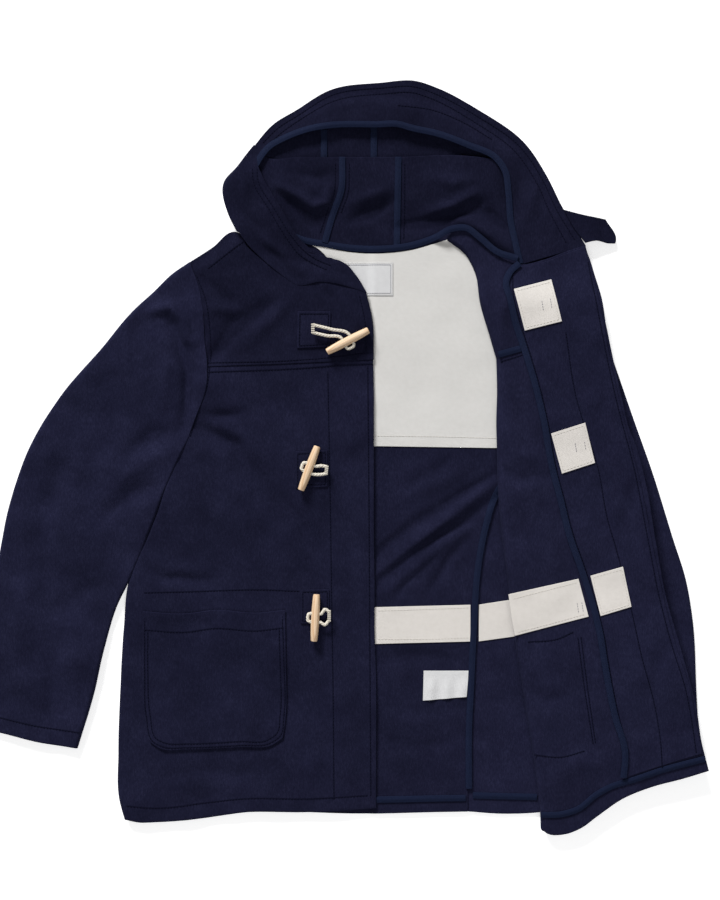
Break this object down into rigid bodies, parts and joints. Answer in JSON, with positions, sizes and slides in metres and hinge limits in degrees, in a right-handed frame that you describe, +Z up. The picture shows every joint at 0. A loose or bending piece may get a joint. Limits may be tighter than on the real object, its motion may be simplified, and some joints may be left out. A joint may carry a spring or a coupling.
{
  "type": "duffle coat",
  "caption": "Short hooded duffle coat laid flat on its back, closed front with toggles, other front folded open to show the bound seams and cotton yoke lining.",
  "frame": {"origin": "middle of the coat's plan, on the surface it lies on", "axes": "+Z up from the surface, +Y from the hem to the hood, +X towards the opened front"},
  "size_m": [0.956, 0.9805, 0.0271],
  "materials": {
    "navy_melton": "matt felted wool with a short nap",
    "bias_binding": "matt cotton bias tape",
    "cotton_twill": "matt cotton twill",
    "woven_label": "smooth woven tape",
    "toggle_wood": "sanded, thinly waxed",
    "toggle_cord": "matt twisted jute-like cord"
  },
  "bodies": {
    "root": {"back_panel": "navy_melton", "binding_crown_seam_1": "bias_binding", "binding_crown_seam_2": "bias_binding", "binding_facing": "bias_binding", "binding_hem_back": "bias_binding", "binding_hem_open": "bias_binding", "binding_hem_under": "bias_binding", "binding_hood_facing": "bias_binding", "binding_hood_seam_1": "bias_binding", "binding_hood_seam_2": "bias_binding", "binding_neck": "bias_binding", "binding_side_seam": "bias_binding", "binding_yoke_seam": "bias_binding", "care_label": "woven_label", "cotton_square_1": "cotton_twill", "cotton_square_2": "cotton_twill", "cotton_square_3": "cotton_twill", "facing_loop_side": "navy_melton", "front_loop_side": "navy_melton", "front_toggle_side": "navy_melton", "hood_back_centre": "navy_melton", "hood_back_loop_side": "navy_melton", "hood_crown_centre": "navy_melton", "hood_crown_loop_side": "navy_melton", "hood_crown_toggle_side": "navy_melton", "hood_facing": "navy_melton", "hood_side_toggle_side": "navy_melton", "hood_tuck": "navy_melton", "loop_cord_1": "toggle_cord", "loop_cord_2": "toggle_cord", "loop_cord_3": "toggle_cord", "loop_square_1": "navy_melton", "loop_square_2": "navy_melton", "loop_square_3": "navy_melton", "neck_label": "woven_label", "pocket_loop_side": "navy_melton", "pocket_toggle_side": "navy_melton", "sleeve_loop_side": "navy_melton", "sleeve_toggle_side": "navy_melton", "throat_tab": "navy_melton", "toggle_1": "toggle_wood", "toggle_2": "toggle_wood", "toggle_3": "toggle_wood", "toggle_cord_1": "toggle_cord", "toggle_cord_2": "toggle_cord", "toggle_cord_3": "toggle_cord", "toggle_square_1": "navy_melton", "toggle_square_2": "navy_melton", "toggle_square_3": "navy_melton", "waist_tape_back": "cotton_twill", "waist_tape_front": "cotton_twill", "waist_tape_side": "cotton_twill", "yoke_lining": "cotton_twill", "yoke_loop_side": "navy_melton", "yoke_toggle_side": "navy_melton"}
  },
  "joints": []
}
